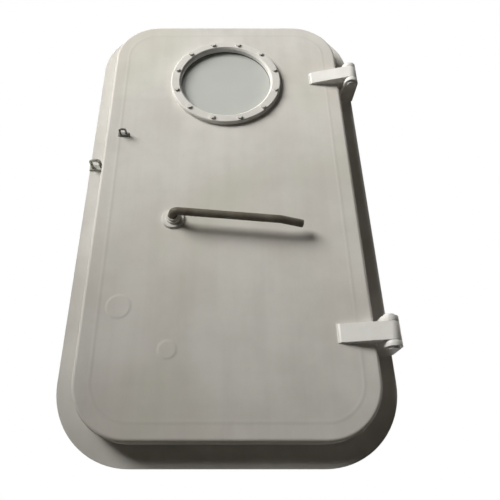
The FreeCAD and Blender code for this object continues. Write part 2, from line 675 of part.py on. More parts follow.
def bent_bar(label, radius, route, bends):
    """Round bar of one radius along straight runs, with an arc at each inner corner."""
    runs = []
    start = route[0]
    for before, corner, after, bend in zip(route, route[1:], route[2:], bends):
        back = (before - corner).normalize()
        ahead = (after - corner).normalize()
        half = back.getAngle(ahead) / 2
        first = corner + back * (bend / math.tan(half))
        last = corner + ahead * (bend / math.tan(half))
        middle = corner + (back + ahead).normalize() * (bend / math.sin(half) - bend)
        runs.append(Part.LineSegment(start, first).toShape())
        runs.append(Part.Arc(first, middle, last).toShape())
        start = last
    runs.append(Part.LineSegment(start, route[-1]).toShape())
    section = Part.Wire(Part.Circle(route[0], route[1] - route[0], radius).toShape())
    sweep = Part.BRepOffsetAPI.MakePipeShell(Part.Wire(runs))
    sweep.add(section)
    sweep.build()
    sweep.makeSolid()
    bar = doc.addObject("Part::Feature", label)
    bar.Label = label
    bar.Shape = sweep.shape()
    sub_parts.append(bar)
    return bar


def build_spindle():
    """Spindle through the gland; the drive crank and inner lever sit on its inner end."""
    place = (SPINDLE_X, "0", SPINDLE_Z)
    spindle = new_body("lever_spindle", *place)
    disc(spindle, "Sizes.spindle_radius", COLLAR_BACK, CRANK_BACK)
    collar = new_body("lever_collar", *place)
    disc(collar, "Sizes.collar_radius", f"({COLLAR_BACK} - Sizes.collar_height)", COLLAR_BACK)

    crank = new_body("drive_crank", *place)
    crank_plate(crank, CRANK_FRONT, CRANK_BACK)
    holes = depth_sketch(crank, CRANK_BACK)
    draw_circle(holes, "Sizes.spindle_radius")
    draw_circle(holes, "(Sizes.link_pin_radius + Sizes.link_pin_clearance)", THROW_X, THROW_Z)
    cut_through(crank, holes)

    hub = new_body("inner_lever_hub", *place)
    hub_front = f"({CRANK_FRONT} - Sizes.inner_hub_height)"
    disc(hub, "Sizes.inner_hub_radius", hub_front, CRANK_FRONT, "Sizes.spindle_radius")


def crank_plate(body, front, back):
    """Hub, web and lobe of a crank that points the way the link bars lie at rest."""
    disc(body, "Sizes.crank_hub_radius", front, back)
    disc(body, "Sizes.crank_lobe_radius", front, back, None, THROW_X, THROW_Z)
    along = "Sizes.crank_web / 2 * cos(Sizes.crank_angle * 1deg)"
    aside = "Sizes.crank_web / 2 * sin(Sizes.crank_angle * 1deg)"
    web = depth_sketch(body, back)
    draw_polygon(web, [
        (f"{aside}", f"-{along}"),
        (f"{THROW_X} + {aside}", f"{THROW_Z} - {along}"),
        (f"{THROW_X} - {aside}", f"{THROW_Z} + {along}"),
        (f"-{aside}", f"{along}"),
    ])
    depth_pad(body, web, front, back)


def build_outer_lever():
    """Bent round bar: out of the collar, over an elbow, along the leaf to its hand end."""
    foot = value(f"{COLLAR_BACK} - Sizes.collar_height")
    out = value(f"{LEAF_FRONT} - Sizes.lever_stand_off")
    reach = value("Sizes.lever_reach")
    tail = value("Sizes.lever_tail")
    drop = value("Sizes.lever_tail_drop")
    route = [
        FreeCAD.Vector(0, foot, 0),
        FreeCAD.Vector(0, out, 0),
        FreeCAD.Vector(reach - tail, out, 0),
        FreeCAD.Vector(reach, out + drop, 0),
    ]
    elbow = value("Sizes.lever_elbow")
    bar = bent_bar("outer_lever", value("Sizes.lever_radius"), route, [elbow, 3 * elbow])
    turn = FreeCAD.Rotation(FreeCAD.Vector(0, 1, 0), value("Sizes.lever_droop_angle"))
    bar.Placement = FreeCAD.Placement(FreeCAD.Vector(value(SPINDLE_X), 0, value(SPINDLE_Z)), turn)


def build_inner_lever():
    """Bent round bar from the inner hub, past the link bars, to a grip inside the ship."""
    level = value(f"{CRANK_FRONT} - Sizes.inner_hub_height / 2")
    knee = value("Sizes.inner_lever_knee")
    rise = value("Sizes.inner_lever_rise")
    radius = value("Sizes.inner_lever_radius")
    route = [
        FreeCAD.Vector(value("Sizes.spindle_radius"), level, 0),
        FreeCAD.Vector(knee, level, 0),
        FreeCAD.Vector(knee, level + rise, 0),
        FreeCAD.Vector(value("Sizes.inner_lever_reach"), level + rise, 0),
    ]
    bar = bent_bar("inner_lever", radius, route, [2 * radius, 2 * radius])
    hub_hole = Part.makeCylinder(
        value("Sizes.inner_hub_radius"), 2 * value("Sizes.inner_hub_height"),
        FreeCAD.Vector(0, level - value("Sizes.inner_hub_height"), 0), FreeCAD.Vector(0, 1, 0),
    )
    bar.Shape = bar.Shape.cut(hub_hole)
    bar.Placement.Base = FreeCAD.Vector(value(SPINDLE_X), 0, value(SPINDLE_Z))


# Dogs, wear pads, link bars and link pins ------------------------------------------------------

def build_dog(side, level, sign, height):
    """Dog plate on its boss: arm along the coaming at rest, crank lobe for the link bar."""
    place = (f"{sign} * Sizes.dog_pivot", "0", height)
    dog = new_body(f"dog_{side}_{level}", *place)
    crank_plate(dog, DOG_FRONT, DOG_BACK)
    arm = depth_sketch(dog, DOG_BACK)
    half = "Sizes.dog_width / 2"
    tip = f"{sign} * Sizes.dog_length"
    shoulder = f"{sign} * (Sizes.dog_length - Sizes.dog_width / 4)"
    nose = "Sizes.dog_width / 4"
    draw_polygon(arm, [
        (f"-{half}", "0"),
        (f"-{half}", shoulder),
        (f"-{nose}", tip),
        (nose, tip),
        (half, shoulder),
        (half, "0"),
    ])
    depth_pad(dog, arm, DOG_FRONT, DOG_BACK)
    holes = depth_sketch(dog, DOG_BACK)
    draw_circle(holes, "(Sizes.dog_pin_radius + Sizes.pin_clearance)")
    draw_circle(holes, "(Sizes.link_pin_radius + Sizes.link_pin_clearance)", THROW_X, THROW_Z)
    cut_through(dog, holes)

    wear_pad = new_body(f"dog_pad_{side}_{level}", *place)
    near = f"{sign} * (Sizes.dog_length - Sizes.pad_length)"
    across = "Sizes.pad_width / 2"
    face = depth_sketch(wear_pad, DOG_FRONT)
    draw_polygon(face, [
        (f"-{across}", near),
        (f"-{across}", shoulder),
        (f"-{nose}", tip),
        (nose, tip),
        (across, shoulder),
        (across, near),
    ])
    depth_pad(wear_pad, face, PAD_FRONT, DOG_FRONT)


def build_link_bars():
    """One upright bar for each side's dogs and a cross bar from side to side."""
    wide = "Sizes.bar_width / 2"
    for side, sign in SIDES.items():
        bar = new_body(f"link_bar_{side}", f"{sign} * Sizes.dog_pivot + {THROW_X}", "0", THROW_Z)
        outline = depth_sketch(bar, BAR_BACK)
        draw_polygon(outline, [
            (f"-{wide}", "Sizes.dog_lower - Sizes.bar_end"),
            (wide, "Sizes.dog_lower - Sizes.bar_end"),
            (wide, "Sizes.dog_upper + Sizes.bar_end"),
            (f"-{wide}", "Sizes.dog_upper + Sizes.bar_end"),
        ])
        for height in DOG_HEIGHTS.values():
            draw_circle(outline, "Sizes.link_pin_radius", "0", height)
        depth_pad(bar, outline, BAR_FRONT, BAR_BACK)
    cross = new_body("link_cross_bar", THROW_X, "0", f"{SPINDLE_Z} + {THROW_Z}")
    outline = depth_sketch(cross, CROSS_BACK)
    reach = "(Sizes.dog_pivot + Sizes.bar_end)"
    draw_polygon(outline, [
        (f"-{reach}", f"-{wide}"),
        (reach, f"-{wide}"),
        (reach, wide),
        (f"-{reach}", wide),
    ])
    for across in ("-Sizes.dog_pivot", SPINDLE_X, "Sizes.dog_pivot"):
        draw_circle(outline, "Sizes.link_pin_radius", across)
    depth_pad(cross, outline, BAR_BACK, CROSS_BACK)


def build_link_pins():
    """Headed pins fixed in the link bars; their shanks turn in the dogs and the crank."""
    pins = new_body("link_pins", THROW_X, "0", THROW_Z)
    places = [(SPINDLE_X, SPINDLE_Z, CRANK_FRONT, CROSS_BACK)]
    for sign in SIDES.values():
        across = f"({sign} * Sizes.dog_pivot)"
        for level, height in DOG_HEIGHTS.items():
            back = CROSS_BACK if level == "middle" else BAR_BACK
            places.append((across, height, DOG_FRONT, back))
    for across, height, front, back in places:
        disc(pins, "Sizes.link_pin_radius", front, back, None, across, height)
        head_back = f"({back} + Sizes.link_head_height)"
        disc(pins, "Sizes.link_head_radius", back, head_back, None, across, height)


# Padlock staples ---------------------------------------------------------------------------------

def build_staple(label, across, base, height):
    """Small round-bar staple for a padlock, on its own base plate."""
    plate = new_body(f"{label}_plate", across, "0", height)
    face = depth_sketch(plate, base)
    long = f"(Sizes.{label}_half + 2 * Sizes.{label}_bar)"
    wide = f"2 * Sizes.{label}_bar"
    draw_polygon(face, [
        (f"-{long}", f"-{wide}"),
        (long, f"-{wide}"),
        (long, wide),
        (f"-{long}", wide),
    ])
    depth_pad(plate, face, f"({base} - Sizes.staple_plate)", base)
    root = value(f"{base} - Sizes.staple_plate")
    crown = root - value(f"Sizes.{label}_height")
    half = value(f"Sizes.{label}_half")
    radius = value(f"Sizes.{label}_bar")
    route = [
        FreeCAD.Vector(-half, root, 0),
        FreeCAD.Vector(-half, crown, 0),
        FreeCAD.Vector(half, crown, 0),
        FreeCAD.Vector(half, root, 0),
    ]
    bar = bent_bar(label, radius, route, [2 * radius, 2 * radius])
    bar.Placement.Base = FreeCAD.Vector(value(across), 0, value(height))


build_flange()
build_coaming()
for side, sign in SIDES.items():
    build_keepers(side, sign)
for level, sign in (("upper", 1), ("lower", -1)):
    build_lugs(level, f"{sign} * Sizes.hinge_height")
    build_hinge_pin(level, f"{sign} * Sizes.hinge_height")
    build_strap(level, f"{sign} * Sizes.hinge_height")
    build_hinge_bush(level, f"{sign} * Sizes.hinge_height")
build_leaf_plate()
build_gasket_channel()
build_stiffener("upper", "Sizes.stiffener_upper")
build_stiffener("middle", "Sizes.stiffener_middle")
build_stiffener("lower", "Sizes.strap_backing - Sizes.hinge_height")
build_window()
build_window_bolts()
build_gland()
build_dog_carriers()
build_spindle()
build_outer_lever()
build_inner_lever()
for side, sign in SIDES.items():
    for level, height in DOG_HEIGHTS.items():
        build_dog(side, level, sign, height)
build_link_bars()
build_link_pins()
build_staple("leaf_staple", "Sizes.leaf_staple_x", LEAF_FRONT, "Sizes.leaf_staple_z")
frame_staple_x = f"(Sizes.frame_staple_inset - {FLANGE_X})"
build_staple("frame_staple", frame_staple_x, FLANGE_FRONT, "Sizes.frame_staple_z")

doc.recompute()
for item in doc.Objects:
    if "Invalid" in item.State or "Error" in item.State:
        raise RuntimeError(f"{item.Label} did not compute")
for part in sub_parts:
    if part.Shape.isNull() or not part.Shape.isValid() or not part.Shape.Solids:
        raise RuntimeError(f"{part.Label} is not a sound solid")
os.makedirs("parts", exist_ok=True)
for part in sub_parts:
    part.Shape.exportStep(f"parts/{part.Label}.step")
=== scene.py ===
import json
import math
import random

import bmesh
import bpy
from mathutils import Euler, Matrix, Vector


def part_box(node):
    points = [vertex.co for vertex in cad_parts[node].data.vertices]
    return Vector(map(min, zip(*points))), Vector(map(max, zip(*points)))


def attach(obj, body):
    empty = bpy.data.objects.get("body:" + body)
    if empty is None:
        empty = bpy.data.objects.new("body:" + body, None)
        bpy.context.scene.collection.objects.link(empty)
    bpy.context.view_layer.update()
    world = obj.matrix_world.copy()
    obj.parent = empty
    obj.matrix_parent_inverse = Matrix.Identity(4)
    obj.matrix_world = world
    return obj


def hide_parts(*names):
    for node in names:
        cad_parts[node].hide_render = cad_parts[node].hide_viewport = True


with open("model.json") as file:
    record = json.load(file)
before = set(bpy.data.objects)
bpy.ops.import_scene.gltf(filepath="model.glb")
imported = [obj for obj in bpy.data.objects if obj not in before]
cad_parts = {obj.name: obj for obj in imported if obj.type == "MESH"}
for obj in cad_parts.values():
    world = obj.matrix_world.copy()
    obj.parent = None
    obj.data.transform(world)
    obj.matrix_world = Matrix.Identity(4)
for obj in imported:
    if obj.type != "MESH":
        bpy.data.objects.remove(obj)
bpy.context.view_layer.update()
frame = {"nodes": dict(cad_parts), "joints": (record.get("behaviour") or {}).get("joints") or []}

# --- Room -------------------------------------------------------------------------------
# A pale floor below the sill and a white surround. One large soft lamp stands high on the
# left of the weather side, and two more reach the hinge side and the inboard side.

node = frame["nodes"]
leaf_low, leaf_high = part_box("leaf_plate")
flange_low, flange_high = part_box("frame_flange")
leaf_face = leaf_low[1]
sill_above_floor = 0.40
floor_half = 3.5


class Shade:
    """One shader socket that takes part in sums, products and other maths."""

    def __init__(self, nodes, socket):
        self.nodes = nodes
        self.socket = socket

    def _math(self, operation, first, second=0.0):
        return self.nodes.add("ShaderNodeMath", {"operation": operation}, {0: first, 1: second})

    def __add__(self, other):
        return self._math("ADD", self, other)

    __radd__ = __add__

    def __sub__(self, other):
        return self._math("SUBTRACT", self, other)

    def __rsub__(self, other):
        return self._math("SUBTRACT", other, self)

    def __mul__(self, other):
        return self._math("MULTIPLY", self, other)

    __rmul__ = __mul__

    def __truediv__(self, other):
        return self._math("DIVIDE", self, other)

    def __abs__(self):
        return self._math("ABSOLUTE", self)

    def at_least(self, other):
        return self._math("MAXIMUM", self, other)

    def at_most(self, other):
        return self._math("MINIMUM", self, other)

    def root(self):
        return self._math("SQRT", self)

    def step_between(self, low, high):
        """0 below low, 1 above high, smooth between them."""
        return self.nodes.add(
            "ShaderNodeMapRange", {"interpolation_type": "SMOOTHSTEP"},
            {"Value": self, "From Min": low, "From Max": high, "To Min": 0.0, "To Max": 1.0})


class Nodes:
    """The nodes of the surround or of a material, each made by one method."""

    def __init__(self, tree):
        self.tree = tree

    def add(self, kind, settings, values, output=0):
        made = self.tree.nodes.new(kind)
        for key, setting in settings.items():
            setattr(made, key, setting)
        for key, given in values.items():
            if isinstance(given, Shade):
                self.tree.links.new(given.socket, made.inputs[key])
            else:
                made.inputs[key].default_value = given
        return Shade(self, made.outputs[output]) if made.outputs else None

    def backdrop_rays(self):
        """1 for what is seen directly, in a gloss or through glass, and 0 for other light."""
        seen, glossy, through = (self.add("ShaderNodeLightPath", {}, {}, f"Is {kind} Ray")
                                 for kind in ("Camera", "Glossy", "Transmission"))
        return seen.at_least(glossy).at_least(through)


class Finish(Nodes):
    """A material under construction, read in the piece's own Object coordinates."""

    def __init__(self, name):
        self.material = bpy.data.materials.new(name)
        self.material.use_nodes = True
        super().__init__(self.material.node_tree)
        self.shader = self.tree.nodes["Principled BSDF"]
        self.place = self.add("ShaderNodeTexCoord", {}, {}, "Object")

    def axis(self, letter):
        return self.add("ShaderNodeSeparateXYZ", {}, {"Vector": self.place}, letter)

    def noise(self, scale, detail=3.0, stretch=(1.0, 1.0, 1.0), rough=0.5):
        placed = self.add("ShaderNodeMapping", {}, {"Vector": self.place, "Scale": stretch})
        return self.add("ShaderNodeTexNoise", {},
                        {"Vector": placed, "Scale": scale, "Detail": detail, "Roughness": rough})

    def blend(self, factor, first, second):
        """First colour at 0 and second at 1, by the Mix node's numbered colour sockets."""
        return self.add("ShaderNodeMix", {"data_type": "RGBA"}, {0: factor, 6: first, 7: second}, 2)

    def bump(self, height, strength, distance, under=None):
        values = {"Height": height, "Strength": strength, "Distance": distance}
        if under is not None:
            values["Normal"] = under
        return self.add("ShaderNodeBump", {}, values)

    def set(self, **values):
        for key, given in values.items():
            socket = self.shader.inputs[key.replace("_", " ")]
            if isinstance(given, Shade):
                self.tree.links.new(given.socket, socket)
            else:
                socket.default_value = given
        return self.material


floor_mesh = bmesh.new()
bmesh.ops.create_grid(floor_mesh, x_segments=1, y_segments=1, size=floor_half)
bmesh.ops.translate(floor_mesh, verts=floor_mesh.verts,
                    vec=(0, 0, flange_low[2] - sill_above_floor))
floor_data = bpy.data.meshes.new("floor")
floor_mesh.to_mesh(floor_data)
floor_mesh.free()
floor = bpy.data.objects.new("floor", floor_data)
bpy.context.scene.collection.objects.link(floor)
floor_finish = Finish("floor")
floor_tone = floor_finish.noise(0.6, 2.0).step_between(0.3, 0.7)
looked_at = floor_finish.backdrop_rays()
floor_finish.set(
    Base_Color=floor_finish.blend(
        looked_at, (0.05, 0.045, 0.035, 1),
        floor_finish.blend(floor_tone, (0.86, 0.86, 0.85, 1), (0.90, 0.90, 0.89, 1))),
    Emission_Color=floor_finish.blend(looked_at, (0, 0, 0, 1), (1, 1, 1, 1)),
    Emission_Strength=0.74, Roughness=0.75, Specular_IOR_Level=0.1)
floor.data.materials.append(floor_finish.material)

world = bpy.data.worlds.new("surround")
bpy.context.scene.world = world
world.use_nodes = True
world.node_tree.nodes.clear()
surround = Nodes(world.node_tree)
ambient = surround.add("ShaderNodeBackground", {},
                       {"Color": (1.0, 0.78, 0.55, 1), "Strength": 0.018})
white = surround.add("ShaderNodeBackground", {}, {"Color": (1, 1, 1, 1), "Strength": 1.0})
either = surround.add("ShaderNodeMixShader", {},
                      {0: surround.backdrop_rays(), 1: ambient, 2: white})
surround.add("ShaderNodeOutputWorld", {}, {"Surface": either})


def lamp(name, place, target, size, power, beam, colour):
    """Soft square lamp that faces a point."""
    light = bpy.data.lights.new(name, "AREA")
    light.shape = "SQUARE"
    light.size = size
    light.energy = power
    light.spread = math.radians(beam)
    light.color = colour
    holder = bpy.data.objects.new(name, light)
    holder.location = place
    holder.rotation_euler = (Vector(target) - Vector(place)).to_track_quat("-Z", "Y").to_euler()
    bpy.context.scene.collection.objects.link(holder)


upper_leaf = Vector((-0.1, leaf_face, 0.45))
window_distance = 4.0
window_direction = Vector((-0.66, -0.58, 0.48)).normalized()
lamp("window_light", place=upper_leaf + window_distance * window_direction,
     target=(0.7, leaf_face, 0.6), size=2.3, power=45, beam=60, colour=(1.0, 0.99, 0.94))
lamp("side_light", place=(3.4, 0.9, 0.9),
     target=(0.3, 0, 0), size=1.8, power=27, beam=180, colour=(1.0, 0.93, 0.84))
lamp("cabin_light", place=(-1.2, 2.4, 1.2),
     target=(0, 0, 0), size=1.6, power=85, beam=180, colour=(1.0, 0.99, 0.97))

# --- Viewpoint --------------------------------------------------------------------------
# A camera close in front of the door and a little below the leaf, tilted up along it. The
# sideways shift frames the door without turning the camera.

sensor_width = 36.0
lens_in_widths = 473 / 500
left_of_middle, before_leaf, below_leaf = 0.009, 1.10, 0.085
tilt_up, sideways_shift = 26.6, 0.054
camera_data = bpy.data.cameras.new("viewpoint")
camera_data.sensor_width = sensor_width
camera_data.lens = sensor_width * lens_in_widths
camera_data.shift_x = sideways_shift
camera = bpy.data.objects.new("viewpoint", camera_data)
camera.location = (-left_of_middle, leaf_face - before_leaf, leaf_low[2] - below_leaf)
camera.rotation_euler = Euler((math.radians(90 + tilt_up), 0, 0))
bpy.context.scene.collection.objects.link(camera)
bpy.context.scene.camera = camera
bpy.context.scene.view_settings.view_transform = "Standard"

# --- Frame ------------------------------------------------------------------------------
# Flange plate and coaming bar of mild steel, joined by one long fillet weld and painted
# over in off-white two-pack paint. Six ramped keepers of bare steel are welded inside the
# coaming, where the dogs ride up them.

chance = random.Random(11)
same_point = 0.00002
sharp_edge = 40.0


def grey(level, warm=0.0):
    """Linear colour of an 8-bit grey, a little warmer where asked."""
    linear = ((level / 255 + 0.055) / 1.055) ** 2.4
    return (linear * (1 + warm), linear, linear * (1 - 1.6 * warm), 1.0)


def paint(name, light, dark, roughness=0.5, mottle=5.0, dust=0.0):
    """Painted steel between two tones; its tone and skin are kept for what is laid over."""
    made = Finish(name)
    cloud = made.noise(mottle, 5.0, rough=0.6).step_between(0.32, 0.68)
    brushed = made.noise(26.0, 3.0, (1.0, 1.0, 0.08)).step_between(0.35, 0.75)
    speck = made.noise(330.0, 2.0).step_between(0.60, 0.78)
    speck_colour = tuple(0.55 * part for part in dark[:3]) + (1.0,)
    mixed = made.blend(cloud * 0.7 + brushed * 0.3, light, dark)
    made.tone = made.blend(speck * (0.10 + dust), mixed, speck_colour)
    orange_peel = made.bump(made.noise(620.0, 2.0), 0.10, 0.0004)
    made.skin = made.bump(made.noise(7.0, 2.0), 0.25, 0.0012, orange_peel)
    made.set(Roughness=roughness + 0.10 * cloud, Specular_IOR_Level=0.16, Base_Color=made.tone,
             Normal=made.skin)
    return made


def dress(name, material, bevel=0.0, segments=2):
    """Give a CAD node its finish and, where its edges are broken, a small bevel."""
    piece = node[name]
    piece.data.materials.clear()
    piece.data.materials.append(material)
    if bevel:
        merged = piece.modifiers.new("merge", "WELD")
        merged.merge_threshold = same_point
        broken = piece.modifiers.new("broken_edges", "BEVEL")
        broken.width = bevel
        broken.segments = segments
        broken.limit_method = "ANGLE"
        broken.angle_limit = math.radians(sharp_edge)


def spread(path, pitch):
    """Points and directions at an even pitch along a polyline."""
    places = []
    left = 0.0
    for start, end in zip(path, path[1:]):
        along = end - start
        while left < along.length:
            places.append((start + along.normalized() * left, along.normalized()))
            left += pitch
        left -= along.length
    return places


def rounded_path(half_x, half_z, corner, depth):
    """Closed polyline round a rounded rectangle in a plane of constant depth."""
    points = []
    for degrees in range(0, 361, 3):
        angle = math.radians(degrees)
        side = 1 if math.cos(angle) > 0 else -1
        top = 1 if math.sin(angle) > 0 else -1
        points.append(Vector((side * (half_x - corner) + corner * math.cos(angle), depth,
                              top * (half_z - corner) + corner * math.sin(angle))))
    return points


def bead(name, paths, body, material, width):
    """Weld laid along each path as overlapping ripples, each a small flattened ball."""
    ripple_pitch, flattened = 0.45, 0.72
    laid = bmesh.new()
    drop = bpy.data.meshes.new("ripple")
    for path in paths:
        for place, along in spread(path, width * ripple_pitch):
            size = width / 2 * chance.uniform(0.9, 1.08)
            turned = along.to_track_quat("X", "Z").to_matrix().to_4x4()
            ripple = (Matrix.Translation(place) @ turned
                      @ Matrix.Diagonal((size * flattened, size, size, 1)))
            one = bmesh.new()
            bmesh.ops.create_icosphere(one, subdivisions=2, radius=1.0, matrix=ripple)
            one.to_mesh(drop)
            one.free()
            laid.from_mesh(drop)
    bpy.data.meshes.remove(drop)
    for face in laid.faces:
        face.smooth = True
    data = bpy.data.meshes.new(name)
    laid.to_mesh(data)
    laid.free()
    data.materials.append(material)
    made = bpy.data.objects.new(name, data)
    bpy.context.scene.collection.objects.link(made)
    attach(made, body)


coaming_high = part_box("frame_coaming")[1]
coaming_corner = 0.090
turns_about = {joint["child"]: Vector(joint["pos_m"]) for joint in frame["joints"]}
dog_heights = [turns_about[f"left_{level}_dog"].z for level in ("upper", "middle", "lower")]

frame_paint = paint("frame_paint", grey(222, 0.02), grey(206, 0.03), roughness=0.52).material
dress("frame_flange", frame_paint, bevel=0.0008)
dress("frame_coaming", frame_paint, bevel=0.0006)
foot_of_coaming = rounded_path(coaming_high[0], coaming_high[2], coaming_corner, flange_low[1])
bead("coaming_weld", [foot_of_coaming], "frame", frame_paint, width=0.006)

keeper_steel = Finish("keeper_steel")
rubbed = keeper_steel.noise(90.0, 3.0, (6.0, 1.0, 1.0)).step_between(0.35, 0.7)
keeper_steel.set(
    Base_Color=keeper_steel.blend(rubbed, (0.50, 0.49, 0.47, 1), (0.62, 0.61, 0.59, 1)),
    Metallic=1.0, Roughness=0.28 + 0.2 * rubbed)
keeper_tail, keeper_lead = 0.016, 0.028
tail_weld, lead_weld, weld_start = 0.020, 0.009, 0.001
for side, sign in (("left", -1), ("right", 1)):
    dress(f"{side}_keepers", keeper_steel.material, bevel=0.0006)
    keeper_low, keeper_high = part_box(f"{side}_keepers")
    wall = keeper_high[0] if sign > 0 else keeper_low[0]
    feet = []
    for pivot in dog_heights:
        for end, length in ((pivot - sign * keeper_tail, tail_weld),
                            (pivot + sign * keeper_lead, lead_weld)):
            feet.append([Vector((wall, keeper_low[1] + weld_start, end)),
                         Vector((wall, keeper_low[1] + length, end))])
    bead(f"{side}_keeper_welds", feet, "frame", frame_paint, width=0.005)

# --- Leaf -------------------------------------------------------------------------------
# Pressed steel pan, with the gasket channel, stiffeners and dog bosses welded behind it.
# The channel prints through as a faint line along the edge, and two round marks stand
# slightly proud low on the left.

leaf_paint = paint("leaf_paint", grey(221, 0.025), grey(205, 0.03), dust=0.04)
across, up = leaf_paint.axis("X"), leaf_paint.axis("Z")
half_wide = (leaf_high[0] - leaf_low[0]) / 2
half_high = (leaf_high[2] - leaf_low[2]) / 2
leaf_corner = 0.137
line_inset, line_width = 0.042, 0.007
mark_edge = 0.009
plate_thickness = 0.006


def edge_distance(x, z):
    """How far inside the leaf's rounded outline a point lies, in metres."""
    side = (abs(x) - (half_wide - leaf_corner)).at_least(0.0)
    top = (abs(z) - (half_high - leaf_corner)).at_least(0.0)
    beyond = (side * side + top * top).root()
    straight = (abs(x) - (half_wide - leaf_corner)).at_least(abs(z) - (half_high - leaf_corner))
    return leaf_corner - (beyond + straight.at_most(0.0))


def round_mark(x, z, radius):
    """1 inside a circle on the leaf, 0 outside it, with a soft edge."""
    away = ((across - x) * (across - x) + (up - z) * (up - z)).root()
    return 1 - ((away - radius) / mark_edge).step_between(-0.5, 0.5)


from_line = abs(edge_distance(across, up) - line_inset)
print_through = (1 - (from_line / line_width).step_between(0.0, 1.0)) * 0.6
marks = round_mark(-0.266, -0.346, 0.030) + round_mark(-0.141, -0.453, 0.022)
streaks = leaf_paint.noise(9.0, 4.0, (0.15, 1.0, 1.6)).step_between(0.50, 0.80)
leaf_tone = leaf_paint.blend(print_through * 0.16 + streaks * 0.10,
                             leaf_paint.tone, grey(165, 0.02))
rosy = leaf_paint.noise(2.6, 2.0).step_between(0.45, 0.70)
green = leaf_paint.noise(3.4, 2.0, (1.0, 1.0, 0.8)).step_between(0.50, 0.75)
leaf_tone = leaf_paint.blend(rosy * 0.22, leaf_tone, (0.70, 0.585, 0.52, 1))
leaf_tone = leaf_paint.blend(green * 0.40, leaf_tone, (0.57, 0.62, 0.50, 1))
leaf_paint.set(
    Base_Color=leaf_tone,
    Normal=leaf_paint.bump(print_through + marks * 1.8, 0.5, 0.0008, leaf_paint.skin))
dress("leaf_plate", leaf_paint.material)

inboard_paint = paint("inboard_paint", grey(214, 0.02), grey(196, 0.03)).material
for name in ("gasket_channel_inner", "gasket_channel_outer", "upper_stiffener",
             "middle_stiffener", "lower_stiffener", "dog_bosses"):
    dress(name, inboard_paint, bevel=0.0006)
plate_back = leaf_face + plate_thickness
stitch_length, stitches_per_bar, bar_end = 0.038, 8, 0.02
stitches = []
for level in ("upper", "middle", "lower"):
    bar_low, bar_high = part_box(f"{level}_stiffener")
    pitch = (bar_high[0] - bar_low[0] - 2 * bar_end) / stitches_per_bar
    for step in range(stitches_per_bar):
        left = bar_low[0] + bar_end + step * pitch
        edge = bar_high[2] if step % 2 else bar_low[2]
        stitches.append([Vector((left, plate_back, edge)),
                         Vector((left + stitch_length, plate_back, edge))])
bead("stiffener_stitches", stitches, "leaf", inboard_paint, width=0.005)
channel_bar, channel_corner = 0.005, 0.067
channel_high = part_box("gasket_channel_inner")[1]
inside_channel = rounded_path(channel_high[0] - channel_bar, channel_high[2] - channel_bar,
                              channel_corner, plate_back)
bead("channel_weld", [inside_channel], "leaf", inboard_paint, width=0.005)


def circle_path(centre, radius):
    """Closed polyline round a line along Y."""
    turns = [math.radians(degrees) for degrees in range(0, 361, 6)]
    return [Vector((centre[0] + radius * math.cos(turn), centre[1],
                    centre[2] + radius * math.sin(turn))) for turn in turns]


boss_foot = 0.0175
dog_across = turns_about["right_upper_dog"].x
boss_feet = [circle_path((sign * dog_across, plate_back, height), boss_foot)
             for sign in (-1, 1) for height in dog_heights]
bead("boss_welds", boss_feet, "leaf", inboard_paint, width=0.005)

rubber = Finish("seal_rubber")
rubber.set(
    Base_Color=rubber.blend(rubber.noise(60.0, 3.0),
                            (0.022, 0.022, 0.022, 1), (0.045, 0.044, 0.042, 1)),
    Roughness=0.7, Normal=rubber.bump(rubber.noise(900.0, 2.0), 0.15, 0.0003))
for name in ("door_gasket", "window_gasket_outer", "window_gasket_inner", "spindle_packing"):
    dress(name, rubber.material)

# --- Window -----------------------------------------------------------------------------
# Fixed round light: toughened glass between two rubber rings in a welded steel frame. A
# turned clamp ring, chamfered at its bore, holds it under twelve painted bolts.

ring_paint = paint("ring_paint", grey(226, 0.02), grey(212, 0.02),
                   roughness=0.45, mottle=14.0).material
dress("window_clamp_ring", ring_paint, bevel=0.0008)
clamp_low, clamp_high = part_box("window_clamp_ring")
clamp_centre = (clamp_low + clamp_high) / 2
clamp_outer = (clamp_high[0] - clamp_low[0]) / 2
ring_width, bore_chamfer, rim_chamfer, spigot_wall = 0.031, 0.0055, 0.003, 0.0075
sight = clamp_outer - ring_width
ring_face, spigot_end = clamp_low[1], clamp_high[1]
profile = ((sight, spigot_end), (sight, ring_face + bore_chamfer),
           (sight + bore_chamfer, ring_face), (clamp_outer - rim_chamfer, ring_face),
           (clamp_outer, ring_face + rim_chamfer), (clamp_outer, leaf_face),
           (sight + spigot_wall, leaf_face), (sight + spigot_wall, spigot_end))
ring = bmesh.new()
outline = [ring.verts.new((clamp_centre[0] + radius, depth, clamp_centre[2]))
           for radius, depth in profile]
edges = [ring.edges.new(pair) for pair in zip(outline, outline[1:] + outline[:1])]
bmesh.ops.spin(ring, geom=outline + edges, cent=(clamp_centre[0], 0, clamp_centre[2]),
               axis=(0, 1, 0), angle=math.tau, steps=120, use_merge=True)
bmesh.ops.recalc_face_normals(ring, faces=ring.faces)
corners = [edge for edge in ring.edges if edge.calc_face_angle(0) > math.radians(30)]
bmesh.ops.bevel(ring, geom=corners, offset=0.0009, segments=3, profile=0.5,
                affect="EDGES", material=-1)
for face in ring.faces:
    face.smooth = True
ring_data = bpy.data.meshes.new("chamfered_clamp_ring")
ring.to_mesh(ring_data)
ring.free()
ring_data.materials.append(ring_paint)
chamfered = bpy.data.objects.new("chamfered_clamp_ring", ring_data)
chamfered.modifiers.new("flat_faces", "WEIGHTED_NORMAL").weight = 90
bpy.context.scene.collection.objects.link(chamfered)
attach(chamfered, "leaf")
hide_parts("window_clamp_ring")
dress("window_frame", ring_paint, bevel=0.0008)

